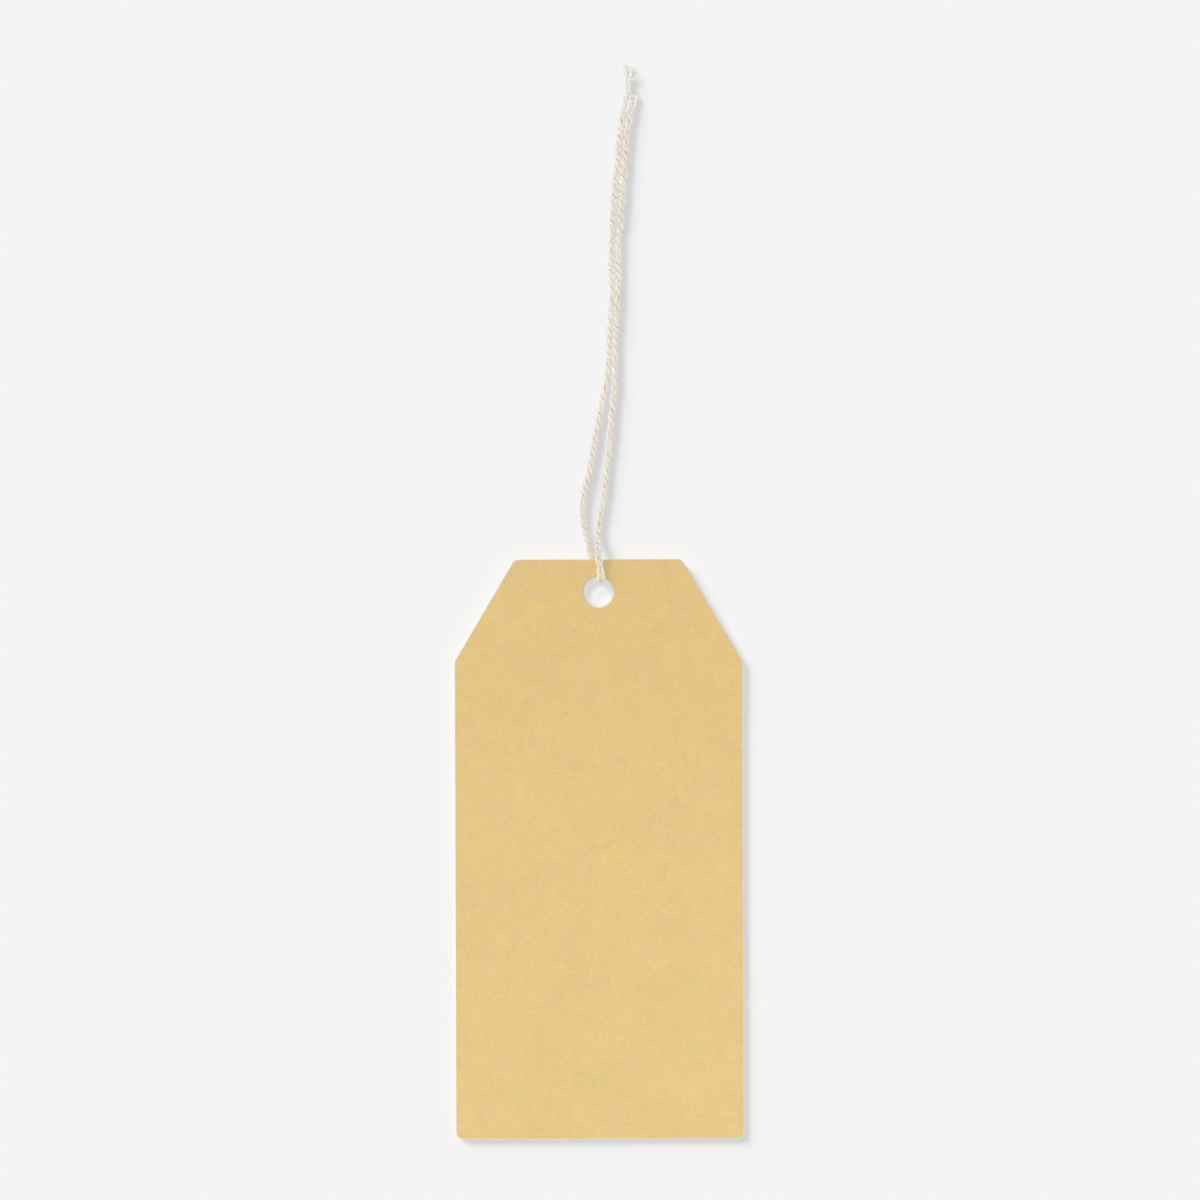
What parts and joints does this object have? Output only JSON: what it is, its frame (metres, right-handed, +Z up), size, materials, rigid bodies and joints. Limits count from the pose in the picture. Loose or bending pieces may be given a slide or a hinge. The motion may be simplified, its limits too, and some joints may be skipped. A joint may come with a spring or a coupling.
{
  "type": "gift tag",
  "caption": "Oblong kraft card tag with clipped shoulders and a punched hole, with a loose cotton string through the hole for tying it to a parcel.",
  "frame": {"origin": "on the table that the tag lies on, under the middle of the card", "axes": "+X across the card, +Y along it towards the hole and the string, +Z up out of its front face"},
  "size_m": [0.05, 0.1873, 0.0019],
  "materials": {
    "kraft_card": "matte uncoated kraft board, buff, with fine fibres",
    "cotton_string": "undyed two-ply cotton, matte and slightly hairy"
  },
  "bodies": {
    "string": {"string_turn": "cotton_string", "string_front_leg": "cotton_string", "string_back_leg": "cotton_string", "string_front_end": "cotton_string", "string_back_end": "cotton_string"},
    "tag": {"tag_card": "kraft_card"}
  },
  "joints": [
    {"name": "tag_swing", "type": "hinge", "parent": "string", "child": "tag", "pos_m": [0, 0.0448, 0.00084], "axis": [0, 0, 1], "range_deg": [-30, 30]}
  ]
}
